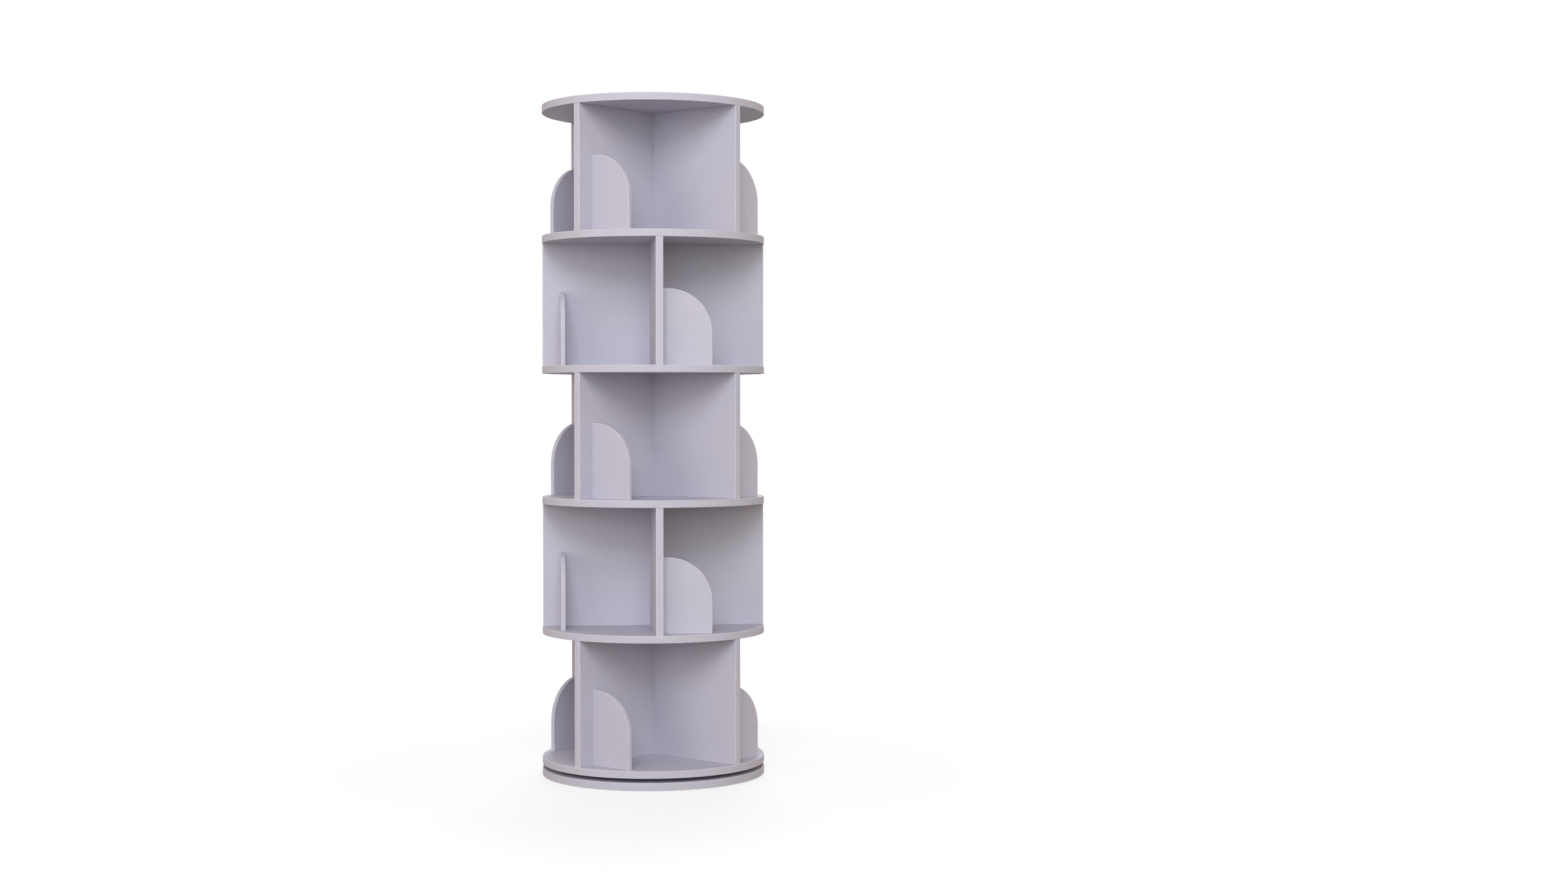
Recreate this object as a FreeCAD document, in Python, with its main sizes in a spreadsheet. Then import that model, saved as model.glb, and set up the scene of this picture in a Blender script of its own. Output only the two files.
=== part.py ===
import FreeCAD, Part
import Sketcher
import math
import os

Vector = FreeCAD.Vector
Rotation = FreeCAD.Rotation
Placement = FreeCAD.Placement

# Revolving bookcase: a round base board on felt pads, a flat ball bearing, and a tower of six
# round boards with five tiers of crossed partitions between them. The origin is on the floor
# under the middle, +Z is up, and the arms of the even tiers lie along X and Y.

# Driving dimensions in millimetres, degrees and counts
dimensions = {
    # Round boards
    "disc_diameter": 460,
    "board_thickness": 15,
    "arris_radius": 1,
    # Stack from the floor up
    "pad_height": 2,
    "bearing_height": 8.5,
    "tier_height": 254,
    "tier_turn": 45,
    # Upright partitions
    "partition_thickness": 15,
    "rim_setback": 1,
    # Book stops
    "stop_thickness": 9,
    "stop_width": 100,
    "stop_height": 153,
    "stop_rim_setback": 37,
    "stop_corner_radius": 88,
    # Countersunk screws between round boards and partitions
    "screw_diameter": 4,
    "screw_head_diameter": 8,
    "screw_length": 40,
    "inner_screw_radius": 60,
    "outer_screw_rim_setback": 58,
    # Screw and dowels of a book stop
    "stop_screw_diameter": 3.5,
    "stop_screw_head_diameter": 7,
    "stop_screw_length": 35,
    "stop_dowel_diameter": 5,
    "stop_dowel_length": 28,
    "stop_dowel_seat": 9,
    "stop_dowel_inset": 34,
    # Dowels through the middle of a cross
    "centre_dowel_diameter": 8,
    "centre_dowel_length": 50,
    "centre_dowel_inset": 62,
    # Caps over the screw heads
    "cap_diameter": 12,
    "cap_thickness": 1,
    "cap_setback": 0.2,
    # Clearances round and behind a screw, dowel or cap
    "fixing_clearance": 0.05,
    "end_clearance": 0.5,
    # Turntable bearing
    "bearing_outer_diameter": 300,
    "ring_width": 19,
    "ring_running_gap": 0.6,
    "race_gap": 2,
    "ball_diameter": 5,
    "ball_count": 36,
    "ball_clearance": 0.25,
    "cage_thickness": 1.2,
    "cage_edge_gap": 0.5,
    # Screws of the bearing rings
    "ring_screw_diameter": 4,
    "ring_screw_head_diameter": 7.5,
    "ring_screw_length": 16,
    "ring_screw_count": 8,
    "access_hole_diameter": 16,
    "access_hole_angle": 22.5,
    # Felt pads
    "pad_diameter": 30,
    "pad_count": 6,
    "pad_rim_setback": 30,
}
tier_count = 5
arm_count = "4"

# Lengths under this are taken as nothing when edges are picked
tolerance = 0.001

doc = FreeCAD.newDocument("revolving_bookcase")
sheet = doc.addObject("Spreadsheet::Sheet", "Sizes")
for row, (name, value) in enumerate(dimensions.items(), start=1):
    sheet.set(f"A{row}", name)
    sheet.set(f"B{row}", str(value))
    sheet.setAlias(f"B{row}", name)
doc.recompute()

# Sizes that follow from the driving dimensions, as expressions on the sheet
disc_radius = "(Sizes.disc_diameter / 2)"
partition_reach = f"({disc_radius} - Sizes.rim_setback)"
half_partition = "(Sizes.partition_thickness / 2)"
pad_circle_radius = f"({disc_radius} - Sizes.pad_rim_setback)"
cap_recess = "(Sizes.cap_thickness + Sizes.cap_setback)"
head_to_face = f"(Sizes.board_thickness - {cap_recess})"

# Book stop, with its corner radius limited by the plate
stop_face_radius = f"({disc_radius} - Sizes.stop_rim_setback)"
stop_back_radius = f"({stop_face_radius} - Sizes.stop_thickness)"
stop_middle_radius = f"({stop_face_radius} - Sizes.stop_thickness / 2)"
stop_outer_edge = f"({half_partition} + Sizes.stop_width)"
stop_screw_offset = f"({half_partition} + Sizes.stop_width / 2)"
stop_corner_limit = "(min(Sizes.stop_width; Sizes.stop_height) - 2 * Sizes.arris_radius)"
stop_corner = f"min(Sizes.stop_corner_radius; {stop_corner_limit})"

# Bores and depths for screws, dowels and caps
screw_bore = "(Sizes.screw_diameter / 2 + Sizes.fixing_clearance)"
screw_bore_depth = f"(Sizes.screw_length - {head_to_face} + Sizes.end_clearance)"
stop_screw_bore = "(Sizes.stop_screw_diameter / 2 + Sizes.fixing_clearance)"
stop_screw_bore_depth = f"(Sizes.stop_screw_length - {head_to_face} + Sizes.end_clearance)"
stop_dowel_bore = "(Sizes.stop_dowel_diameter / 2 + Sizes.fixing_clearance)"
stop_dowel_seat_depth = "(Sizes.stop_dowel_seat + Sizes.end_clearance)"
stop_dowel_plate_depth = "(Sizes.stop_dowel_length - Sizes.stop_dowel_seat + Sizes.end_clearance)"
centre_dowel_bore = "(Sizes.centre_dowel_diameter / 2 + Sizes.fixing_clearance)"
centre_dowel_depth = "(Sizes.centre_dowel_length / 2 + Sizes.end_clearance)"
cap_bore = "(Sizes.cap_diameter / 2 + Sizes.fixing_clearance)"

# Places of the fixings on a tier's first arm, which lies along X
outer_screw_radius = f"({disc_radius} - Sizes.outer_screw_rim_setback)"
arm_screws = [("Sizes.inner_screw_radius", "0"), (outer_screw_radius, "0")]
arm_stop_screw = [(stop_middle_radius, stop_screw_offset)]
stop_dowel_levels = ["Sizes.stop_dowel_inset", "(Sizes.stop_height - Sizes.stop_dowel_inset)"]
centre_dowel_levels = ["Sizes.centre_dowel_inset", "(Sizes.tier_height - Sizes.centre_dowel_inset)"]

# Levels above the floor
base_top = "(Sizes.pad_height + Sizes.board_thickness)"
tower_bottom = f"({base_top} + Sizes.bearing_height)"
storey = "(Sizes.tier_height + Sizes.board_thickness)"

# Turntable bearing: the lower ring lies on the base board, the upper ring hangs from the tower
upper_ring_edge = "(Sizes.bearing_outer_diameter / 2)"
upper_ring_bore = f"({upper_ring_edge} - Sizes.ring_width)"
race_radius = f"({upper_ring_bore} - Sizes.race_gap / 2)"
lower_ring_edge = f"({race_radius} - Sizes.race_gap / 2)"
lower_ring_bore = f"({lower_ring_edge} - Sizes.ring_width)"
race_level = f"({base_top} + Sizes.bearing_height / 2)"
groove_radius = "(Sizes.ball_diameter / 2 + Sizes.ball_clearance)"
ring_height = "(Sizes.bearing_height - Sizes.ring_running_gap)"
lower_ring_top = f"({base_top} + {ring_height})"
lower_screw_circle = f"(({lower_ring_bore} + {lower_ring_edge}) / 2)"
upper_ring_bottom = f"({tower_bottom} - {ring_height})"
upper_screw_circle = f"(({upper_ring_bore} + {upper_ring_edge}) / 2)"
ring_screw_bore = "(Sizes.ring_screw_diameter / 2 + Sizes.fixing_clearance)"
ring_screw_bore_depth = f"(Sizes.ring_screw_length - {ring_height} + Sizes.end_clearance)"


def disc_level(number):
    """Underside of a turning round board, 0 for the bottom shelf."""
    return f"({tower_bottom} + {number} * {storey})"


def tier_level(tier):
    """Upper face of the board that a tier stands on, 1 for the lowest tier."""
    return f"({disc_level(tier - 1)} + Sizes.board_thickness)"


def tier_angle(tier):
    """Turn of a tier's arms: every other tier is turned, the even ones are square."""
    return f"({tier % 2} * Sizes.tier_turn)"


# Bodies, sketches and features
def new_body(label):
    body = doc.addObject("PartDesign::Body", label)
    body.Label = label
    return body


def origin_feature(body, role):
    return next(item for item in body.Origin.OriginFeatures if item.Role == role)


def new_sketch(body, name, plane="XY_Plane", move=(), turn=None, turn_axis=Vector(0, 0, 1)):
    """Sketch on an origin plane of its body, moved and turned in that plane's own axes."""
    sketch = body.newObject("Sketcher::SketchObject", name)
    sketch.AttachmentSupport = [(origin_feature(body, plane), "")]
    sketch.MapMode = "FlatFace"
    for axis, distance in zip("xyz", move):
        if distance != "0":
            sketch.setExpression(f"AttachmentOffset.Base.{axis}", distance)
    if turn:
        sketch.AttachmentOffset = Placement(Vector(), Rotation(turn_axis, 1))
        sketch.setExpression("AttachmentOffset.Rotation.Angle", turn)
    return sketch


def bind_constraint(sketch, constraint, name, expression):
    """Add a constraint under its own name, with its value bound to an expression."""
    constraint.Name = name
    sketch.addConstraint(constraint)
    sketch.setExpression(f"Constraints.{name}", expression)


def dimension(sketch, kind, geometry, point, start_value, expression):
    """Distance from the sketch's origin to a point."""
    if expression == "0":
        sketch.addConstraint(Sketcher.Constraint(kind, -1, 1, geometry, point, 0))
    else:
        distance = Sketcher.Constraint(kind, -1, 1, geometry, point, start_value)
        bind_constraint(sketch, distance, f"{kind}_{geometry}", expression)


def start_place(number):
    """Where a sketch point is drawn before its constraints move it."""
    return Vector(10 * number, 10 * number * number, 0)


def add_polygon(sketch, corners):
    """Closed outline through corners given as pairs of expressions."""
    count = len(corners)
    starts = [start_place(number) for number in range(count)]
    for number in range(count):
        side = Part.LineSegment(starts[number], starts[(number + 1) % count])
        sketch.addGeometry(side, False)
    for number in range(count):
        following = (number + 1) % count
        sketch.addConstraint(Sketcher.Constraint("Coincident", number, 2, following, 1))
    for number, (x, y) in enumerate(corners):
        dimension(sketch, "DistanceX", number, 1, starts[number].x, x)
        dimension(sketch, "DistanceY", number, 1, starts[number].y, y)


def add_rectangle(sketch, left, right, low, high):
    add_polygon(sketch, [(left, low), (right, low), (right, high), (left, high)])


def add_circles(sketch, centres, radius):
    """Equal circles round centres given as pairs of expressions."""
    for number, (x, y) in enumerate(centres):
        spot = start_place(number + 1)
        geometry = sketch.addGeometry(Part.Circle(spot, Vector(0, 0, 1), 1), False)
        dimension(sketch, "DistanceX", geometry, 3, spot.x, x)
        dimension(sketch, "DistanceY", geometry, 3, spot.y, y)
        size = Sketcher.Constraint("Radius", geometry, 1.0)
        bind_constraint(sketch, size, f"Radius_{geometry}", radius)


def add_feature(body, kind, name, sketch):
    feature = body.newObject(f"PartDesign::{kind}", name)
    feature.Profile = sketch
    return feature


def extrude(body, name, sketch, length, reversed_way=False, midplane=False):
    feature = add_feature(body, "Pad", name, sketch)
    feature.setExpression("Length", length)
    feature.Reversed = reversed_way
    feature.Midplane = midplane
    return feature


def pocket(body, name, sketch, depth, reversed_way=False, midplane=False):
    """Cut along the sketch's normal, backwards from it unless reversed."""
    before = solid_volume(body)
    feature = add_feature(body, "Pocket", name, sketch)
    feature.setExpression("Length", depth)
    feature.Reversed = reversed_way
    feature.Midplane = midplane
    must_remove(body, name, before)
    return feature


def countersunk_holes(body, name, sketch, shank, head, reversed_way=False):
    """Through holes with a right-angled countersink at the sketch."""
    before = solid_volume(body)
    feature = add_feature(body, "Hole", name, sketch)
    doc.recompute([feature])
    feature.setExpression("Diameter", f"{shank} + 2 * Sizes.fixing_clearance")
    feature.DepthType = "ThroughAll"
    feature.HoleCutType = "Countersink"
    feature.setExpression("HoleCutDiameter", f"{head} + 2 * Sizes.fixing_clearance")
    feature.HoleCutCountersinkAngle = 90
    feature.Reversed = reversed_way
    must_remove(body, name, before)
    return feature


def revolve(body, kind, name, sketch, axis):
    feature = add_feature(body, kind, name, sketch)
    feature.ReferenceAxis = axis
    feature.Angle = 360
    return feature


def turn_copies(body, name, originals, count):
    """The same features repeated round the vertical axis."""
    feature = body.newObject("PartDesign::PolarPattern", name)
    feature.Originals = originals
    feature.Axis = (origin_feature(body, "Z_Axis"), [""])
    feature.Angle = 360
    feature.setExpression("Occurrences", count)
    body.Tip = feature
    return feature


def fillet_edges(body, name, wanted, radius):
    """Round the edges of the body's last feature that the wanted test picks."""
    base = body.Tip
    doc.recompute([base])
    names = [f"Edge{number}" for number, edge in enumerate(base.Shape.Edges, start=1) if wanted(edge)]
    feature = body.newObject("PartDesign::Fillet", name)
    feature.Base = (base, names)
    feature.setExpression("Radius", radius)
    return feature


def solid_volume(body):
    doc.recompute([body.Tip])
    return body.Tip.Shape.Volume


def must_remove(body, name, before):
    """Stop if a cut left the solid as it was."""
    if solid_volume(body) >= before:
        raise RuntimeError(f"{body.Label}: {name} cuts nothing")


def place(body, level, angle="0"):
    """Set a body at a level above the floor, turned round the middle."""
    body.Placement = Placement(Vector(), Rotation(Vector(0, 0, 1), 1))
    body.setExpression("Placement.Base.z", level)
    body.setExpression("Placement.Rotation.Angle", angle)


# Round boards
def add_disc(body):
    """Plain round board with its underside at the body's origin and both rims rounded."""
    outline = new_sketch(body, "disc_outline")
    add_circles(outline, [("0", "0")], disc_radius)
    extrude(body, "disc", outline, "Sizes.board_thickness")
    fillet_edges(body, "arris", is_level_ring, "Sizes.arris_radius")


def is_level_ring(edge):
    return edge.Closed and edge.BoundBox.ZLength < tolerance


def holes_from_above(body, tier):
    """Cap recesses and countersunk holes on one arm, for the screws down into the tier below."""
    turn = tier_angle(tier)
    caps = new_sketch(body, "caps_above", move=("0", "0", "Sizes.board_thickness"), turn=turn)
    add_circles(caps, arm_screws, cap_bore)
    recesses = pocket(body, "recesses_above", caps, cap_recess)
    spots = new_sketch(body, "screws_above", move=("0", "0", head_to_face), turn=turn)
    add_circles(spots, arm_screws, "Sizes.screw_diameter / 2")
    holes = countersunk_holes(body, "holes_above", spots, "Sizes.screw_diameter",
                              "Sizes.screw_head_diameter")
    return [recesses, holes]


def holes_from_below(body, tier):
    """The same from below, for the screws up into the tier above and into its book stop."""
    turn = tier_angle(tier)
    caps = new_sketch(body, "caps_below", turn=turn)
    add_circles(caps, arm_screws + arm_stop_screw, cap_bore)
    recesses = pocket(body, "recesses_below", caps, cap_recess, reversed_way=True)
    spots = new_sketch(body, "screws_below", move=("0", "0", cap_recess), turn=turn)
    add_circles(spots, arm_screws, "Sizes.screw_diameter / 2")
    holes = countersunk_holes(body, "holes_below", spots, "Sizes.screw_diameter",
                              "Sizes.screw_head_diameter", reversed_way=True)
    stop = new_sketch(body, "stop_screw_below", move=("0", "0", cap_recess), turn=turn)
    add_circles(stop, arm_stop_screw, "Sizes.stop_screw_diameter / 2")
    stop_hole = countersunk_holes(body, "stop_hole_below", stop, "Sizes.stop_screw_diameter",
                                  "Sizes.stop_screw_head_diameter", reversed_way=True)
    return [recesses, holes, stop_hole]


def make_base_board():
    body = new_body("base_board")
    add_disc(body)
    spot = new_sketch(body, "pilot_spot", move=("0", "0", "Sizes.board_thickness"))
    add_circles(spot, [(lower_screw_circle, "0")], ring_screw_bore)
    pilot = pocket(body, "ring_pilot", spot, ring_screw_bore_depth)
    turn_copies(body, "ring_pilots", [pilot], "Sizes.ring_screw_count")
    access = new_sketch(body, "access", turn="Sizes.access_hole_angle")
    add_circles(access, [(upper_screw_circle, "0")], "Sizes.access_hole_diameter / 2")
    pocket(body, "access_hole", access, "Sizes.board_thickness", reversed_way=True)
    place(body, "Sizes.pad_height")
    return body


def make_bottom_shelf():
    body = new_body("bottom_shelf")
    add_disc(body)
    turn_copies(body, "all_arms", holes_from_below(body, 1), arm_count)
    spot = new_sketch(body, "pilot_spot")
    add_circles(spot, [(upper_screw_circle, "0")], ring_screw_bore)
    pilot = pocket(body, "ring_pilot", spot, ring_screw_bore_depth, reversed_way=True)
    turn_copies(body, "ring_pilots", [pilot], "Sizes.ring_screw_count")
    place(body, disc_level(0))
    return body


def make_shelf(number):
    body = new_body(f"shelf_{number}")
    add_disc(body)
    holes = holes_from_above(body, number) + holes_from_below(body, number + 1)
    turn_copies(body, "all_arms", holes, arm_count)
    place(body, disc_level(number))
    return body


def make_top_board():
    body = new_body("top_board")
    add_disc(body)
    turn_copies(body, "all_arms", holes_from_above(body, tier_count), arm_count)
    place(body, disc_level(tier_count))
    return body


# Upright partitions, with the first arm along X and the tier's floor at the body's origin
def add_partition_board(body, inner_end):
    """Upright board along X with its outer corners rounded."""
    outline = new_sketch(body, "outline")
    add_rectangle(outline, inner_end, partition_reach, f"-{half_partition}", half_partition)
    extrude(body, "board", outline, "Sizes.tier_height")
    fillet_edges(body, "arris", is_outer_upright, "Sizes.arris_radius")


def is_outer_upright(edge):
    """Upright edges at a partition's outer end."""
    box = edge.BoundBox
    upright = box.XLength < tolerance and box.YLength < tolerance
    return upright and abs(box.XMin) > sheet.get("partition_thickness")


def add_arm_holes(body):
    """Holes on the first arm: screws in both end grains, and its stop's dowels in one side."""
    bottom = new_sketch(body, "bottom_spots")
    add_circles(bottom, arm_screws, screw_bore)
    from_below = pocket(body, "bottom_pilots", bottom, screw_bore_depth, reversed_way=True)
    top = new_sketch(body, "top_spots", move=("0", "0", "Sizes.tier_height"))
    add_circles(top, arm_screws, screw_bore)
    from_above = pocket(body, "top_pilots", top, screw_bore_depth)
    side = new_sketch(body, "side_spots", "XZ_Plane", move=("0", "0", f"-{half_partition}"))
    add_circles(side, [(stop_middle_radius, level) for level in stop_dowel_levels], stop_dowel_bore)
    from_side = pocket(body, "side_holes", side, stop_dowel_seat_depth, reversed_way=True)
    return [from_below, from_above, from_side]


def make_long_partition(tier):
    body = new_body(f"tier_{tier}_long_partition")
    add_partition_board(body, f"-{partition_reach}")
    turn_copies(body, "both_arms", add_arm_holes(body), "2")
    middle = new_sketch(body, "middle_spots", "XZ_Plane")
    add_circles(middle, [("0", level) for level in centre_dowel_levels], centre_dowel_bore)
    pocket(body, "middle_holes", middle, "Sizes.partition_thickness", midplane=True)
    place(body, tier_level(tier), tier_angle(tier))
    return body


def make_short_partition(tier, letter, quarter):
    body = new_body(f"tier_{tier}_short_partition_{letter}")
    add_partition_board(body, half_partition)
    add_arm_holes(body)
    middle = new_sketch(body, "middle_spots", "YZ_Plane")
    add_circles(middle, [("0", level) for level in centre_dowel_levels], centre_dowel_bore)
    pocket(body, "middle_holes", middle, centre_dowel_depth, reversed_way=True)
    place(body, tier_level(tier), f"{tier_angle(tier)} + {90 * quarter}")
    return body


# Book stops
def make_book_stop(tier, letter, quarter):
    """Low plate square on the outer end of an arm, with one large round corner."""
    body = new_body(f"tier_{tier}_book_stop_{letter}")
    outline = new_sketch(body, "outline", "YZ_Plane", move=("0", "0", stop_back_radius))
    add_rectangle(outline, half_partition, stop_outer_edge, "0", "Sizes.stop_height")
    extrude(body, "plate", outline, "Sizes.stop_thickness")
    fillet_edges(body, "round_corner", is_far_top_corner, stop_corner)
    fillet_edges(body, "arris", is_free_outline, "Sizes.arris_radius")
    side = new_sketch(body, "dowels", "XZ_Plane", move=("0", "0", f"-{half_partition}"))
    add_circles(side, [(stop_middle_radius, level) for level in stop_dowel_levels], stop_dowel_bore)
    pocket(body, "dowel_holes", side, stop_dowel_plate_depth)
    foot = new_sketch(body, "screw")
    add_circles(foot, [(stop_middle_radius, stop_screw_offset)], stop_screw_bore)
    pocket(body, "screw_hole", foot, stop_screw_bore_depth, reversed_way=True)
    place(body, tier_level(tier), f"{tier_angle(tier)} + {90 * quarter}")
    return body


def is_far_top_corner(edge):
    """The edge through the plate at the top corner away from the partition."""
    box = edge.BoundBox
    low, middle = sheet.get("stop_height") / 2, sheet.get("stop_width") / 2
    return box.XLength > tolerance and box.ZMin > low and box.YMin > middle


def is_free_outline(edge):
    """Edges round both faces, except along the shelf and along the partition."""
    box = edge.BoundBox
    beside = sheet.get("partition_thickness") / 2
    on_shelf = box.ZMax < tolerance
    on_partition = box.YMax < beside + tolerance
    return box.XLength < tolerance and not on_shelf and not on_partition


# Screws, dowels and caps
def add_screw(body, name, spot, head_level, direction, shank, head, length):
    """Countersunk screw with a driver socket, from its head's face along +Z or -Z."""
    x, y = spot
    sketch = new_sketch(body, name, "XZ_Plane", move=(x, head_level, f"-({y})"))
    cone = f"(({head} - {shank}) / 2)"
    profile = [
        ("0", f"{shank} / 2"),
        (f"{shank} / 2", "0"),
        (f"{head} / 2", "0"),
        (f"{shank} / 2", cone),
        (f"{shank} / 2", f"{length} - {shank}"),
        ("0", length),
    ]
    add_polygon(sketch, [(across, f"{direction} * ({along})") for across, along in profile])
    return revolve(body, "Revolution", f"{name}_turned", sketch, (sketch, ["V_Axis"]))


def make_tier_screws(tier):
    """The screws up and down into one tier's partitions."""
    body = new_body(f"tier_{tier}_screws")
    lower_heads = f"-{head_to_face}"
    upper_heads = f"(Sizes.tier_height + {head_to_face})"
    screws = []
    for reach, spot in zip(("inner", "outer"), arm_screws):
        for name, level, direction in (("lower", lower_heads, 1), ("upper", upper_heads, -1)):
            screws.append(add_screw(body, f"{name}_{reach}", spot, level, direction,
                                    "Sizes.screw_diameter", "Sizes.screw_head_diameter",
                                    "Sizes.screw_length"))
    turn_copies(body, "all_arms", screws, arm_count)
    place(body, tier_level(tier), tier_angle(tier))
    return body


def turned_spot(x, y, angle):
    """A point of the first arm after the tier's turn."""
    return (f"({x} * cos({angle}) - {y} * sin({angle}))", f"({x} * sin({angle}) + {y} * cos({angle}))")


def make_stop_screws():
    body = new_body("stop_screws")
    screws = []
    for tier in range(1, tier_count + 1):
        spot = turned_spot(stop_middle_radius, stop_screw_offset, tier_angle(tier))
        level = f"({tier_level(tier)} - {head_to_face})"
        screws.append(add_screw(body, f"screw_{tier}", spot, level, 1, "Sizes.stop_screw_diameter",
                                "Sizes.stop_screw_head_diameter", "Sizes.stop_screw_length"))
    turn_copies(body, "all_arms", screws, arm_count)
    return body


def make_stop_dowels():
    """Dowels across the joint between an arm's side and its stop."""
    body = new_body("stop_dowels")
    pairs = []
    for tier in range(1, tier_count + 1):
        angle = tier_angle(tier)
        inner_end = f"({half_partition} - Sizes.stop_dowel_seat)"
        x, y = turned_spot("0", inner_end, angle)
        sketch = new_sketch(body, f"spots_{tier}", "XZ_Plane", (x, tier_level(tier), f"-{y}"),
                            turn=angle, turn_axis=Vector(0, 1, 0))
        centres = [(stop_middle_radius, level) for level in stop_dowel_levels]
        add_circles(sketch, centres, "Sizes.stop_dowel_diameter / 2")
        pairs.append(extrude(body, f"pair_{tier}", sketch, "Sizes.stop_dowel_length", reversed_way=True))
    turn_copies(body, "all_arms", pairs, arm_count)
    return body


def make_centre_dowels():
    """Dowels through each long partition into the two short ones."""
    body = new_body("centre_dowels")
    for tier in range(1, tier_count + 1):
        sketch = new_sketch(body, f"spots_{tier}", "XZ_Plane", ("0", tier_level(tier), "0"),
                            turn=tier_angle(tier), turn_axis=Vector(0, 1, 0))
        add_circles(sketch, [("0", level) for level in centre_dowel_levels],
                    "Sizes.centre_dowel_diameter / 2")
        extrude(body, f"pair_{tier}", sketch, "Sizes.centre_dowel_length", midplane=True)
    return body


def make_cover_caps():
    """Flat caps just below the boards' faces, over every screw head that would show."""
    body = new_body("cover_caps")
    caps = []
    for number in range(1, tier_count + 1):
        level = f"({disc_level(number)} + Sizes.board_thickness - Sizes.cap_setback)"
        above = new_sketch(body, f"spots_over_{number}", move=("0", "0", level), turn=tier_angle(number))
        add_circles(above, arm_screws, "Sizes.cap_diameter / 2")
        caps.append(extrude(body, f"caps_over_{number}", above, "Sizes.cap_thickness", reversed_way=True))
    for number in range(1, tier_count):
        level = f"({disc_level(number)} + Sizes.cap_setback)"
        turn = tier_angle(number + 1)
        below = new_sketch(body, f"spots_under_{number}", move=("0", "0", level), turn=turn)
        add_circles(below, arm_screws + arm_stop_screw, "Sizes.cap_diameter / 2")
        caps.append(extrude(body, f"caps_under_{number}", below, "Sizes.cap_thickness"))
    turn_copies(body, "all_arms", caps, arm_count)
    return body


# Turntable bearing
def add_ring(body, bore, edge, low, screw_circle, head_face, heads_up):
    """Flat ring with half a ball race and countersunk screw holes."""
    section = new_sketch(body, "section", "XZ_Plane")
    add_rectangle(section, bore, edge, low, f"{low} + {ring_height}")
    revolve(body, "Revolution", "ring", section, (origin_feature(body, "Z_Axis"), [""]))
    before = solid_volume(body)
    race = new_sketch(body, "race", "XZ_Plane")
    add_circles(race, [(race_radius, race_level)], groove_radius)
    revolve(body, "Groove", "ball_race", race, (origin_feature(body, "Z_Axis"), [""]))
    must_remove(body, "ball_race", before)
    holes = new_sketch(body, "screw_spot", move=("0", "0", head_face))
    add_circles(holes, [(screw_circle, "0")], "Sizes.ring_screw_diameter / 2")
    hole = countersunk_holes(body, "screw_hole", holes, "Sizes.ring_screw_diameter",
                             "Sizes.ring_screw_head_diameter", reversed_way=not heads_up)
    turn_copies(body, "screw_holes", [hole], "Sizes.ring_screw_count")


def make_bearing_lower_ring():
    body = new_body("bearing_lower_ring")
    add_ring(body, lower_ring_bore, lower_ring_edge, base_top, lower_screw_circle,
             lower_ring_top, heads_up=True)
    return body


def make_bearing_upper_ring():
    body = new_body("bearing_upper_ring")
    add_ring(body, upper_ring_bore, upper_ring_edge, upper_ring_bottom, upper_screw_circle,
             upper_ring_bottom, heads_up=False)
    return body


def make_ring_screws(label, screw_circle, head_level, direction):
    body = new_body(label)
    screw = add_screw(body, "screw", (screw_circle, "0"), head_level, direction,
                      "Sizes.ring_screw_diameter", "Sizes.ring_screw_head_diameter",
                      "Sizes.ring_screw_length")
    turn_copies(body, "all_screws", [screw], "Sizes.ring_screw_count")
    return body


def make_ball_cage():
    """Thin upright band between the rings, with a window of the race's section for each ball."""
    body = new_body("ball_cage")
    section = new_sketch(body, "section", "XZ_Plane")
    inner = f"({race_radius} - Sizes.cage_thickness / 2)"
    outer = f"({race_radius} + Sizes.cage_thickness / 2)"
    low = f"({upper_ring_bottom} + Sizes.cage_edge_gap)"
    high = f"({lower_ring_top} - Sizes.cage_edge_gap)"
    add_rectangle(section, inner, outer, low, high)
    revolve(body, "Revolution", "band", section, (origin_feature(body, "Z_Axis"), [""]))
    window = new_sketch(body, "window", "YZ_Plane", move=("0", "0", race_radius))
    add_circles(window, [("0", race_level)], groove_radius)
    cut = pocket(body, "ball_window", window, "Sizes.ball_diameter", midplane=True)
    turn_copies(body, "ball_windows", [cut], "Sizes.ball_count")
    return body


def make_bearing_balls():
    body = new_body("bearing_balls")
    half = new_sketch(body, "half", "XZ_Plane", move=(race_radius, race_level, "0"))
    arc = Part.ArcOfCircle(Part.Circle(Vector(), Vector(0, 0, 1), 2), -math.pi / 2, math.pi / 2)
    half.addGeometry(arc, False)
    half.addGeometry(Part.LineSegment(Vector(0, 2, 0), Vector(0, -2, 0)), False)
    half.addConstraint(Sketcher.Constraint("Coincident", 0, 3, -1, 1))
    half.addConstraint(Sketcher.Constraint("Coincident", 0, 2, 1, 1))
    half.addConstraint(Sketcher.Constraint("Coincident", 0, 1, 1, 2))
    half.addConstraint(Sketcher.Constraint("Vertical", 1))
    size = Sketcher.Constraint("Radius", 0, 2.0)
    bind_constraint(half, size, "Ball_radius", "Sizes.ball_diameter / 2")
    ball = revolve(body, "Revolution", "ball", half, (half, ["V_Axis"]))
    turn_copies(body, "all_balls", [ball], "Sizes.ball_count")
    return body


def make_foot_pads():
    body = new_body("foot_pads")
    spot = new_sketch(body, "spot")
    add_circles(spot, [(pad_circle_radius, "0")], "Sizes.pad_diameter / 2")
    first_pad = extrude(body, "first_pad", spot, "Sizes.pad_height")
    turn_copies(body, "all_pads", [first_pad], "Sizes.pad_count")
    return body


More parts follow.
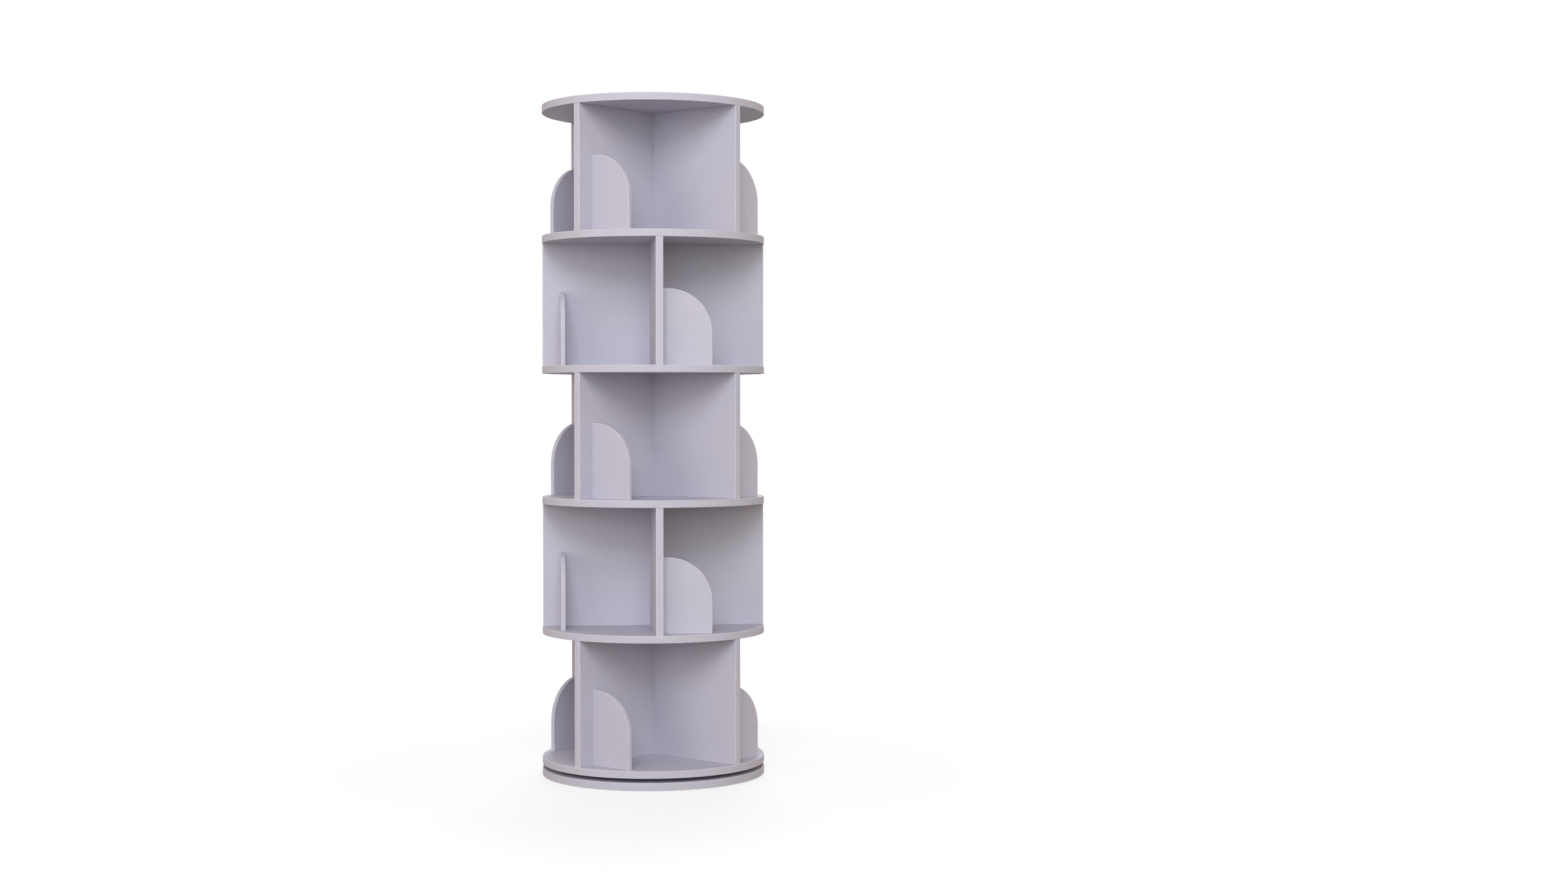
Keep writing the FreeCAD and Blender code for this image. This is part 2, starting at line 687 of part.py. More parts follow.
# The whole bookcase
bodies = [
    make_foot_pads(),
    make_base_board(),
    make_bearing_lower_ring(),
    make_ring_screws("lower_ring_screws", lower_screw_circle, lower_ring_top, -1),
    make_ball_cage(),
    make_bearing_balls(),
    make_bearing_upper_ring(),
    make_ring_screws("upper_ring_screws", upper_screw_circle, upper_ring_bottom, 1),
    make_bottom_shelf(),
]
for tier in range(1, tier_count + 1):
    bodies.append(make_long_partition(tier))
    bodies.append(make_short_partition(tier, "a", 1))
    bodies.append(make_short_partition(tier, "b", 3))
    for quarter, letter in enumerate("abcd"):
        bodies.append(make_book_stop(tier, letter, quarter))
    bodies.append(make_tier_screws(tier))
    bodies.append(make_top_board() if tier == tier_count else make_shelf(tier))
bodies += [make_centre_dowels(), make_stop_dowels(), make_stop_screws(), make_cover_caps()]

doc.recompute()
for item in doc.Objects:
    if "Invalid" in item.State or "Error" in item.State:
        raise RuntimeError(f"{item.Label} failed: {item.State}")
for body in bodies:
    if body.Shape.isNull() or not body.Shape.isValid() or not body.Shape.Solids:
        raise RuntimeError(f"{body.Label} is not a valid solid")

os.makedirs("parts", exist_ok=True)
for body in bodies:
    body.Shape.exportStep(f"parts/{body.Label}.step")
print(f"{len(bodies)} pieces written")
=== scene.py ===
import math

import bmesh
import bpy
from mathutils import Matrix, Vector
from mathutils.geometry import tessellate_polygon


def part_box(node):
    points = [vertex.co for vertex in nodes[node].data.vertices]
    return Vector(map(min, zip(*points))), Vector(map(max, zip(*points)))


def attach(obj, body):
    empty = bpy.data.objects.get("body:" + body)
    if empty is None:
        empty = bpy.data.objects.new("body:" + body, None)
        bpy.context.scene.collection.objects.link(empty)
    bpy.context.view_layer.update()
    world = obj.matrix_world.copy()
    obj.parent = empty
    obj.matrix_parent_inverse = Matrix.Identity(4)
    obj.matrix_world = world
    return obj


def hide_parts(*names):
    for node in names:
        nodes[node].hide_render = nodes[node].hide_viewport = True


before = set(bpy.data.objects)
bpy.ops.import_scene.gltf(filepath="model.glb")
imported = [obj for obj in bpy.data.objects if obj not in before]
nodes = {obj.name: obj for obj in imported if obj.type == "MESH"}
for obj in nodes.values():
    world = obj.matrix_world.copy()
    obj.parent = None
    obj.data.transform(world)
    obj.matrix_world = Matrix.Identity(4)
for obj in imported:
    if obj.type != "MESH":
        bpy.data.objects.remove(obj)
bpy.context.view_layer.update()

# Revolving bookcase of round painted boards, crossed partitions and book stops. Sizes are the
# model's own, in millimetres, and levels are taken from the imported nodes.
MM = 0.001
TIERS = 5
ARMS = 4
ODD_TIER_TURN = math.radians(45)

# Round boards and upright partitions
DISC_RADIUS = 230
BOARD = 15
ARRIS = 1
PARTITION_REACH = DISC_RADIUS - 1
HALF_PARTITION = 7.5
TIER_HEIGHT = 254

# Book stops: back and face are distances from the axis, near and far from the arm's middle
STOP_BACK, STOP_FACE = 184, 193
STOP_MIDDLE = (STOP_BACK + STOP_FACE) / 2
STOP_WIDTH, STOP_HEIGHT, STOP_CORNER = 100, 153, 88
STOP_NEAR = HALF_PARTITION
STOP_FAR = STOP_NEAR + STOP_WIDTH

# A hole is wider than what it holds by SLACK all round, and deeper by END_SLACK
SLACK, END_SLACK = 0.05, 0.5
CAP_RADIUS, CAP_THICKNESS, CAP_SETBACK = 6, 1, 0.2
CAP_RECESS = CAP_THICKNESS + CAP_SETBACK
HEAD_TO_FACE = BOARD - CAP_RECESS

SCREW_SPOTS = [(60, 0), (172, 0)]
SCREW_RADIUS, SCREW_HEAD_RADIUS, SCREW_LENGTH = 2, 4, 40
SCREW_DEPTH = SCREW_LENGTH - HEAD_TO_FACE + END_SLACK

STOP_SCREW_SPOT = (STOP_MIDDLE, STOP_NEAR + STOP_WIDTH / 2)
STOP_SCREW_RADIUS, STOP_SCREW_HEAD_RADIUS, STOP_SCREW_LENGTH = 1.75, 3.5, 35
STOP_SCREW_DEPTH = STOP_SCREW_LENGTH - HEAD_TO_FACE + END_SLACK

STOP_DOWEL_RADIUS, STOP_DOWEL_LENGTH, STOP_DOWEL_SEAT, STOP_DOWEL_INSET = 2.5, 28, 9, 34
STOP_DOWEL_LEVELS = (STOP_DOWEL_INSET, STOP_HEIGHT - STOP_DOWEL_INSET)

CENTRE_DOWEL_RADIUS, CENTRE_DOWEL_LENGTH, CENTRE_DOWEL_INSET = 4, 50, 62
CENTRE_DOWEL_LEVELS = (CENTRE_DOWEL_INSET, TIER_HEIGHT - CENTRE_DOWEL_INSET)

# Turntable bearing
RING_HEIGHT = 7.9
RING_SCREWS, RING_SCREW_RADIUS, RING_SCREW_LENGTH = 8, 2, 16
RING_PILOT_DEPTH = RING_SCREW_LENGTH - RING_HEIGHT + END_SLACK
LOWER_RING_CIRCLE, UPPER_RING_CIRCLE = 119.5, 140.5
ACCESS_RADIUS, ACCESS_ANGLE = 8, math.radians(22.5)
BALLS, BALL_RADIUS, BALL_CIRCLE = 36, 2.5, 130

# Edge of a cover cap: how far it is softened, the middle of that rounding, and the ring beside it
CAP_EDGE, CAP_EDGE_MIDDLE, CAP_FACE_RING = 0.25, 0.08, 1

# Felt pads, with their soft edge as (distance inwards, height) from the floor up
PADS, PAD_RADIUS, PAD_HEIGHT, PAD_CIRCLE = 6, 15, 2, 200
PAD_EDGE = [(0.5, 0), (0.1, 0.35), (0, 0.8), (0, 1.5), (0.2, 1.9), (0.5, PAD_HEIGHT)]

# How finely shapes are divided
DISC_SIDES = 288
HOLE_SIDES = 32
PAD_SIDES = 48
BALL_SIDES, BALL_STEPS = 24, 12
STOP_CORNER_STEPS = 40
ARRIS_STEPS = 4

# Edges: EASED_JOINT softens those inside a joint, SUPPORT is the flat strip kept beside every
# rounding, and END_STRIP is the short edge that holds the rounding at a corner of the outline
EASED_JOINT = 0.5
SUPPORT = 1.6
END_STRIP = 3
SHARP_ANGLE = math.radians(40)
NORMAL_WEIGHT = 80

# How much paint rubbing and painted highlight the two sides of an arris get, and how much nap a hole's
# mouth shows
RUBBED_AND_HIGHLIT_SIDE = 0.55
MOUTH_NAP = 0.6

# Below these, edges count as parallel, points as one, edges as slivers and triangles as flat
PARALLEL = 1e-4
WELD = 1e-5
SLIVER = 1e-4
FLAT_AREA = 1e-4


# Materials
def new_material(name):
    material = bpy.data.materials.new(name)
    material.use_nodes = True
    tree = material.node_tree
    tree.nodes.clear()
    output = tree.nodes.new("ShaderNodeOutputMaterial")
    shader = tree.nodes.new("ShaderNodeBsdfPrincipled")
    tree.links.new(shader.outputs["BSDF"], output.inputs["Surface"])
    return material, tree, shader


def connect(tree, socket, value):
    """Link a socket to another node's output, or set it to a constant."""
    if isinstance(value, bpy.types.NodeSocket):
        tree.links.new(value, socket)
    else:
        socket.default_value = value


def object_place(tree):
    return tree.nodes.new("ShaderNodeTexCoord").outputs["Object"]


def noise(tree, place, scale, detail=3.0, roughness=0.55, distortion=0.0):
    node = tree.nodes.new("ShaderNodeTexNoise")
    tree.links.new(place, node.inputs["Vector"])
    node.inputs["Scale"].default_value = scale
    node.inputs["Detail"].default_value = detail
    node.inputs["Roughness"].default_value = roughness
    node.inputs["Distortion"].default_value = distortion
    return node.outputs["Fac"]


def stretch(tree, place, factors):
    node = tree.nodes.new("ShaderNodeMapping")
    tree.links.new(place, node.inputs["Vector"])
    node.inputs["Scale"].default_value = factors
    return node.outputs["Vector"]


def remap(tree, value, low, high, to_low=0.0, to_high=1.0):
    node = tree.nodes.new("ShaderNodeMapRange")
    tree.links.new(value, node.inputs["Value"])
    node.inputs["From Min"].default_value = low
    node.inputs["From Max"].default_value = high
    node.inputs["To Min"].default_value = to_low
    node.inputs["To Max"].default_value = to_high
    return node.outputs["Result"]


def calculate(tree, operation, first, second=0.0):
    node = tree.nodes.new("ShaderNodeMath")
    node.operation = operation
    connect(tree, node.inputs[0], first)
    connect(tree, node.inputs[1], second)
    return node.outputs["Value"]


def mix_colour(tree, factor, first, second):
    node = tree.nodes.new("ShaderNodeMix")
    node.data_type = "RGBA"
    connect(tree, node.inputs["Factor"], factor)
    connect(tree, node.inputs["A"], first)
    connect(tree, node.inputs["B"], second)
    return node.outputs["Result"]


def attribute(tree, name):
    node = tree.nodes.new("ShaderNodeAttribute")
    node.attribute_name = name
    return node.outputs["Fac"]


def bump(tree, height, distance, strength=1.0, under=None):
    node = tree.nodes.new("ShaderNodeBump")
    tree.links.new(height, node.inputs["Height"])
    node.inputs["Distance"].default_value = distance
    node.inputs["Strength"].default_value = strength
    if under:
        tree.links.new(under, node.inputs["Normal"])
    return node.outputs["Normal"]


def rgb(red, green, blue):
    return (red, green, blue, 1.0)


PAINT_COOL, PAINT_WARM = rgb(0.506, 0.484, 0.579), rgb(0.520, 0.488, 0.562)
# The lightest colour goes on the arrises: partly paint thinned by rubbing, partly a painted highlight
# along the edges.
PAINT_SPECK, PAINT_RUBBED_HIGHLIGHT = rgb(0.464, 0.439, 0.522), rgb(0.639, 0.614, 0.698)
CAP_DULL, CAP_BRIGHT = rgb(0.501, 0.479, 0.570), rgb(0.521, 0.494, 0.586)
FELT_DARK, FELT_LIGHT = rgb(0.085, 0.085, 0.092), rgb(0.20, 0.20, 0.215)
NYLON_DULL, NYLON_BRIGHT = rgb(0.72, 0.70, 0.62), rgb(0.80, 0.79, 0.73)
BEECH_DARK, BEECH_LIGHT = rgb(0.46, 0.29, 0.16), rgb(0.66, 0.47, 0.29)
BEECH_FLECK = rgb(0.30, 0.17, 0.09)
MATT_SPECULAR = 0.25


def painted_board_material():
    """Matt paint rolled on fibreboard: a faint orange peel, the nap of cut edges, and arrises painted
    lighter, partly as paint thinned by rubbing and partly as a painted highlight.
    """
    material, tree, shader = new_material("lilac_grey_paint")
    place = object_place(tree)
    broad = noise(tree, place, scale=5.0, detail=2.0)
    colour = mix_colour(tree, remap(tree, broad, 0.3, 0.7), PAINT_COOL, PAINT_WARM)
    mottle = noise(tree, place, scale=70.0, detail=4.0, roughness=0.6)
    speckled = remap(tree, mottle, 0.35, 0.70, to_low=0.0, to_high=0.22)
    colour = mix_colour(tree, speckled, colour, PAINT_SPECK)
    arris = attribute(tree, "arris")
    patches = remap(tree, noise(tree, place, scale=38.0, detail=4.0, roughness=0.65), 0.42, 0.66)
    worn_and_highlit = remap(tree, patches, 0.0, 1.0, to_low=0.25, to_high=0.8)
    # Arrises are painted lighter in patches: paint thinned by rubbing, and a painted highlight where
    # the edges catch the light.
    colour = mix_colour(tree, calculate(tree, "MULTIPLY", arris, worn_and_highlit), colour, PAINT_RUBBED_HIGHLIGHT)
    tree.links.new(colour, shader.inputs["Base Color"])

    cut = attribute(tree, "cut_edge")
    sheen_patches = noise(tree, place, scale=22.0)
    rough = remap(tree, sheen_patches, 0.3, 0.7, to_low=0.60, to_high=0.70)
    rough = calculate(tree, "ADD", rough, calculate(tree, "MULTIPLY", cut, 0.05))
    rough = calculate(tree, "SUBTRACT", rough, calculate(tree, "MULTIPLY", arris, 0.06))
    tree.links.new(rough, shader.inputs["Roughness"])
    shader.inputs["Specular IOR Level"].default_value = MATT_SPECULAR

    peel = noise(tree, place, scale=480.0, detail=2.0, roughness=0.5)
    skin = bump(tree, peel, distance=0.00007, strength=0.6)
    nap = noise(tree, stretch(tree, place, (1.0, 1.0, 2.6)), scale=1500.0, roughness=0.65)
    nap = calculate(tree, "MULTIPLY", nap, remap(tree, cut, 0.0, 1.0, to_low=0.15, to_high=1.0))
    napped = bump(tree, nap, distance=0.00003, strength=0.6, under=skin)
    tree.links.new(napped, shader.inputs["Normal"])
    return material


def cap_material():
    """Moulded cap in the paint's colour, with a fine even grain."""
    material, tree, shader = new_material("lilac_grey_cap_plastic")
    place = object_place(tree)
    clouds = remap(tree, noise(tree, place, scale=60.0), 0.3, 0.7)
    tree.links.new(mix_colour(tree, clouds, CAP_DULL, CAP_BRIGHT), shader.inputs["Base Color"])
    rough = remap(tree, noise(tree, place, scale=180.0), 0.3, 0.7, to_low=0.55, to_high=0.66)
    tree.links.new(rough, shader.inputs["Roughness"])
    shader.inputs["Specular IOR Level"].default_value = MATT_SPECULAR
    grain = noise(tree, place, scale=1400.0, detail=2.0)
    tree.links.new(bump(tree, grain, distance=0.00002, strength=0.5), shader.inputs["Normal"])
    return material


def felt_material():
    """Pressed felt: dark and light fibres with a soft sheen."""
    material, tree, shader = new_material("grey_pressed_felt")
    squeezed = stretch(tree, object_place(tree), (1.0, 2.4, 1.0))
    fibres = noise(tree, squeezed, scale=900.0, detail=5.0, roughness=0.7, distortion=1.5)
    colour = mix_colour(tree, remap(tree, fibres, 0.25, 0.75), FELT_DARK, FELT_LIGHT)
    tree.links.new(colour, shader.inputs["Base Color"])
    rough = remap(tree, fibres, 0.2, 0.8, to_low=0.88, to_high=1.0)
    tree.links.new(rough, shader.inputs["Roughness"])
    shader.inputs["Sheen Weight"].default_value = 0.35
    shader.inputs["Sheen Roughness"].default_value = 0.5
    tree.links.new(bump(tree, fibres, distance=0.0005, strength=0.9), shader.inputs["Normal"])
    return material


def metal_material(name, dark, light, smoothest, roughest, scale, factors, depth):
    """Bare metal with fine marks along one way, set by the stretch factors."""
    material, tree, shader = new_material(name)
    place = object_place(tree)
    marks = noise(tree, stretch(tree, place, factors), scale, detail=4.0, roughness=0.65)
    stains = noise(tree, place, scale=45.0)
    colour = mix_colour(tree, remap(tree, stains, 0.3, 0.7), dark, light)
    tree.links.new(colour, shader.inputs["Base Color"])
    shader.inputs["Metallic"].default_value = 1.0
    rough = remap(tree, marks, 0.3, 0.7, to_low=smoothest, to_high=roughest)
    tree.links.new(rough, shader.inputs["Roughness"])
    tree.links.new(bump(tree, marks, distance=depth, strength=0.5), shader.inputs["Normal"])
    return material


def nylon_material():
    """Undyed moulded nylon, slightly cloudy."""
    material, tree, shader = new_material("natural_nylon")
    place = object_place(tree)
    clouds = remap(tree, noise(tree, place, scale=90.0), 0.3, 0.7)
    tree.links.new(mix_colour(tree, clouds, NYLON_DULL, NYLON_BRIGHT), shader.inputs["Base Color"])
    rough = remap(tree, noise(tree, place, scale=400.0), 0.3, 0.7, to_low=0.38, to_high=0.55)
    tree.links.new(rough, shader.inputs["Roughness"])
    shader.inputs["Subsurface Weight"].default_value = 0.15
    shader.inputs["Subsurface Scale"].default_value = 0.002
    grain = noise(tree, place, scale=1500.0)
    tree.links.new(bump(tree, grain, distance=0.00002, strength=0.4), shader.inputs["Normal"])
    return material


def beech_material():
    """Bare beech: darker flecks in a pale pinkish brown."""
    material, tree, shader = new_material("bare_beech")
    place = object_place(tree)
    grain = noise(tree, stretch(tree, place, (1.0, 1.0, 6.0)), scale=260.0, detail=4.0,
                  roughness=0.6, distortion=0.6)
    flecks = noise(tree, stretch(tree, place, (1.0, 1.0, 2.5)), scale=1400.0, detail=2.0)
    colour = mix_colour(tree, remap(tree, grain, 0.3, 0.7), BEECH_DARK, BEECH_LIGHT)
    flecked = remap(tree, flecks, 0.6, 0.75, to_low=0.0, to_high=0.5)
    tree.links.new(mix_colour(tree, flecked, colour, BEECH_FLECK), shader.inputs["Base Color"])
    rough = remap(tree, grain, 0.3, 0.7, to_low=0.55, to_high=0.75)
    tree.links.new(rough, shader.inputs["Roughness"])
    tree.links.new(bump(tree, flecks, distance=0.00008, strength=0.5), shader.inputs["Normal"])
    return material


paint = painted_board_material()
cap_plastic = cap_material()
felt = felt_material()
aluminium = metal_material("milled_aluminium", dark=rgb(0.66, 0.67, 0.69), light=rgb(0.78, 0.79, 0.81),
                           smoothest=0.28, roughest=0.46, scale=500.0, factors=(1.0, 1.0, 8.0),
                           depth=0.00003)
ball_steel = metal_material("polished_ball_steel", dark=rgb(0.62, 0.62, 0.64),
                            light=rgb(0.72, 0.72, 0.74), smoothest=0.06, roughest=0.14,
                            scale=900.0, factors=(1.0, 1.0, 1.0), depth=0.000004)
zinc = metal_material("zinc_plated_steel", dark=rgb(0.55, 0.55, 0.54), light=rgb(0.70, 0.70, 0.68),
                      smoothest=0.24, roughest=0.40, scale=800.0, factors=(1.0, 1.0, 0.4),
                      depth=0.00002)
nylon = nylon_material()
beech = beech_material()


# Mesh building
def circle(x, y, radius, sides, start=0.0):
    """Points round a centre, counter-clockwise."""
    return [(x + radius * math.cos(start + 2 * math.pi * k / sides),
             y + radius * math.sin(start + 2 * math.pi * k / sides)) for k in range(sides)]


def inset(outline, distances):
    """The outline with each edge moved inwards by its own distance."""
    count = len(outline)
    moved = []
    for k in range(count):
        before, here, after = (Vector(outline[(k + step) % count]) for step in (-1, 0, 1))
        first = (here - before).normalized()
        second = (after - here).normalized()
        normal_1, normal_2 = Vector((-first.y, first.x)), Vector((-second.y, second.x))
        d1, d2 = distances[(k - 1) % count], distances[k]
        cross = normal_1.x * normal_2.y - normal_1.y * normal_2.x
        if abs(cross) < PARALLEL:
            offset = normal_2 * max(d1, d2)
        else:
            offset = Vector(((d1 * normal_2.y - d2 * normal_1.y) / cross,
                             (normal_1.x * d2 - normal_2.x * d1) / cross))
        moved.append((here.x + offset.x, here.y + offset.y))
    return moved


class Board:
    """A flat board from an outline: rounded arrises, and holes in its faces and in its edges.

    face_holes lists (x, y, steps, from above, through), with steps as (radius, depth) pairs.
    edge_holes lists, for an edge of the outline, (distance along it, radius, depth) of each hole."""

    def __init__(self, outline, rounding, thickness):
        self.mesh = bmesh.new()
        self.arris = self.mesh.verts.layers.float.new("arris")
        self.cut = self.mesh.verts.layers.float.new("cut_edge")
        self.outline = outline
        self.rounding = rounding
        self.thickness = thickness
        self.face_holes = []
        self.edge_holes = {}

    def loop(self, points, heights, wear_and_highlight, cut):
        """A vertex for each point, with its own height and its own share of arris rubbing and painted
        highlight, or the same for all.
        """
        if not isinstance(heights, list):
            heights = [heights] * len(points)
        if not isinstance(wear_and_highlight, list):
            wear_and_highlight = [wear_and_highlight] * len(points)
        made = []
        for (x, y), height, worn_and_highlit in zip(points, heights, wear_and_highlight):
            vertex = self.mesh.verts.new((x, y, height))
            vertex[self.arris] = worn_and_highlit
            vertex[self.cut] = cut
            made.append(vertex)
        return made

    def band(self, lower, upper, left_out=()):
        """Faces between two loops with as many points, apart from those over the edges left out."""
        count = len(lower)
        for k in range(count):
            if k not in left_out:
                after = (k + 1) % count
                self.mesh.faces.new((lower[k], lower[after], upper[after], upper[k])).smooth = True

    def fill(self, loops):
        """A flat face inside the first loop and outside the others."""
        vertices = [vertex for loop in loops for vertex in loop]
        made = []
        for corners in tessellate_polygon([[vertex.co for vertex in loop] for loop in loops]):
            made.append(self.mesh.faces.new([vertices[k] for k in corners]))
            made[-1].smooth = True
        open_flat_triangles(made)

    def bore(self, mouth, steps, direction, end):
        """Walls of a hole from its mouth through (radius, depth) steps, with a flat end or none."""
        centre = sum((vertex.co for vertex in mouth), Vector()) / len(mouth)
        start = (mouth[0].co - centre).length
        ring = mouth
        for radius, depth in steps:
            following = []
            for vertex in mouth:
                place = centre + (vertex.co - centre) * (radius / start) + direction * depth
                made = self.mesh.verts.new(place)
                made[self.cut] = 1.0
                following.append(made)
            self.band(ring, following)
            ring = following
        if end:
            self.mesh.faces.new(ring).smooth = True
        return ring

    def rounded_edge_loops(self):
        """Loops from the upper face's support, round both arrises, to the lower face's support.

        An edge that is only eased, inside a joint, gets no rubbing and no painted highlight."""
        count = len(self.outline)
        radii = [max(self.rounding[k - 1], self.rounding[k]) for k in range(count)]
        upper = [(inset(self.outline, [r + SUPPORT for r in self.rounding]), 0.0, 0.0, 0.0)]
        for step in range(ARRIS_STEPS + 1):
            angle = math.pi / 2 * step / ARRIS_STEPS
            points = inset(self.outline, [r * (1 - math.sin(angle)) for r in self.rounding])
            # The two sides of an arris get part of its lighter colour and its middle all of it: paint
            # thinned by rubbing and a painted highlight.
            rubbed_and_highlit = RUBBED_AND_HIGHLIT_SIDE if step in (0, ARRIS_STEPS) else 1.0
            wear_and_highlight = [rubbed_and_highlit if r > EASED_JOINT else 0.0 for r in radii]
            upper.append((points, 1 - math.cos(angle), wear_and_highlight, step / ARRIS_STEPS))
        loops = [self.loop(points, [self.thickness - drop * r for r in radii], wear_and_highlight, cut)
                 for points, drop, wear_and_highlight, cut in upper]
        side = [self.thickness - r - SUPPORT for r in radii]
        loops.append(self.loop(self.outline, side, 0.0, 1.0))
        loops.append(self.loop(self.outline, [self.thickness - z for z in side], 0.0, 1.0))
        for points, drop, wear_and_highlight, cut in reversed(upper):
            loops.append(self.loop(points, [drop * r for r in radii], wear_and_highlight, cut))
        return loops

    def finish(self, name, placing):
        """Make the mesh, with its place in it."""
        loops = self.rounded_edge_loops()
        walls = len(loops) // 2 - 1
        for k in range(len(loops) - 1):
            self.band(loops[k + 1], loops[k], self.edge_holes if k == walls else ())
        for edge, holes in self.edge_holes.items():
            self.edge_wall(loops[walls], loops[walls + 1], edge, holes)
        upper, lower = [loops[0]], [loops[-1]]
        for x, y, steps, from_above, through in self.face_holes:
            height, other = (self.thickness, 0.0) if from_above else (0.0, self.thickness)
            mouth = self.loop(circle(x, y, steps[0][0], HOLE_SIDES), height, 0.0, MOUTH_NAP)
            direction = Vector((0, 0, -1 if from_above else 1))
            inner = steps[1:-1] if through else steps[1:]
            ring = self.bore(mouth, inner, direction, not through)
            (upper if from_above else lower).append(mouth)
            if through:
                far_mouth = self.loop(circle(x, y, steps[-1][0], HOLE_SIDES), other, 0.0, MOUTH_NAP)
                self.band(ring, far_mouth)
                (lower if from_above else upper).append(far_mouth)
        self.fill(upper)
        self.fill(lower)
        return clean_mesh(self.mesh, name, placing)

    def edge_wall(self, upper, lower, edge, holes):
        """The flat wall along one outline edge, with round holes into the board."""
        after = (edge + 1) % len(self.outline)
        start, end = Vector(self.outline[edge]), Vector(self.outline[after])
        along = (end - start).normalized()
        inward = Vector((-along.y, along.x, 0))
        mouths = []
        for distance, radius, depth in holes:
            mouth = []
            for u, z in circle(distance, self.thickness / 2, radius, HOLE_SIDES):
                place = start + along * u
                mouth += self.loop([(place.x, place.y)], z, 0.0, 1.0)
            self.bore(mouth, [(radius, depth)], inward, True)
            mouths.append(mouth)
        self.fill([[upper[edge], upper[after], lower[after], lower[edge]]] + mouths)


def is_flat(face):
    return face.calc_area() < FLAT_AREA


def open_flat_triangles(faces):
    """Turn the long edge of each triangle that three points in a row have made."""
    for face in faces:
        if face.is_valid and is_flat(face):
            long_edge = max(face.edges, key=lambda edge: edge.calc_length())
            others = [other for other in long_edge.link_faces
                      if other is not face and not is_flat(other)]
            if others:
                bmesh.utils.edge_rotate(long_edge)


def clean_mesh(mesh, name, placing):
    """Merge, place and turn outwards, in metres, with sharp edges marked."""
    bmesh.ops.remove_doubles(mesh, verts=mesh.verts, dist=WELD)
    bmesh.ops.dissolve_degenerate(mesh, edges=mesh.edges, dist=SLIVER)
    bmesh.ops.transform(mesh, matrix=placing @ Matrix.Scale(MM, 4), verts=mesh.verts)
    bmesh.ops.recalc_face_normals(mesh, faces=mesh.faces)
    for edge in mesh.edges:
        edge.smooth = edge.calc_face_angle(0.0) < SHARP_ANGLE
    data = bpy.data.meshes.new(name)
    mesh.to_mesh(data)
    mesh.free()
    return data


def turned_mesh(name, profile, sides, placing):
    """A round body from (radius, height) points, closed on the axis at both ends."""
    mesh = bmesh.new()
    rings = []
    for radius, height in profile:
        if radius == 0:
            rings.append([mesh.verts.new((0, 0, height))])
        else:
            rings.append([mesh.verts.new((x, y, height)) for x, y in circle(0, 0, radius, sides)])
    for lower, upper in zip(rings, rings[1:]):
        for k in range(sides):
            after = (k + 1) % sides
            corners = [lower[k % len(lower)], lower[after % len(lower)],
                       upper[after % len(upper)], upper[k % len(upper)]]
            mesh.faces.new(list(dict.fromkeys(corners))).smooth = True
    return clean_mesh(mesh, name, placing)


def joined_mesh(name, parts):
    """Several meshes as one."""
    mesh = bmesh.new()
    for data in parts:
        mesh.from_mesh(data)
    joined = bpy.data.meshes.new(name)
    mesh.to_mesh(joined)
    mesh.free()
    return joined


def plain_object(data, material):
    thing = bpy.data.objects.new(data.name, data)
    bpy.context.scene.collection.objects.link(thing)
    if not data.materials:
        data.materials.append(material)
    return thing


def finished(thing):
    """The object with its modifiers worked into a plain mesh."""
    name = thing.name
    weighted = thing.modifiers.new("weighted_normals", "WEIGHTED_NORMAL")
    weighted.keep_sharp = True
    weighted.weight = NORMAL_WEIGHT
    bpy.context.view_layer.update()
    evaluated = thing.evaluated_get(bpy.context.evaluated_depsgraph_get())
    data = bpy.data.meshes.new_from_object(evaluated)
    data.name = name
    thing.modifiers.clear()
    thing.data = data
    return thing


def seat(thing, body, slot, *replaced):
    """Put a piece on its body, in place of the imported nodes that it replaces."""
    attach(thing, body)
    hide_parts(*replaced)


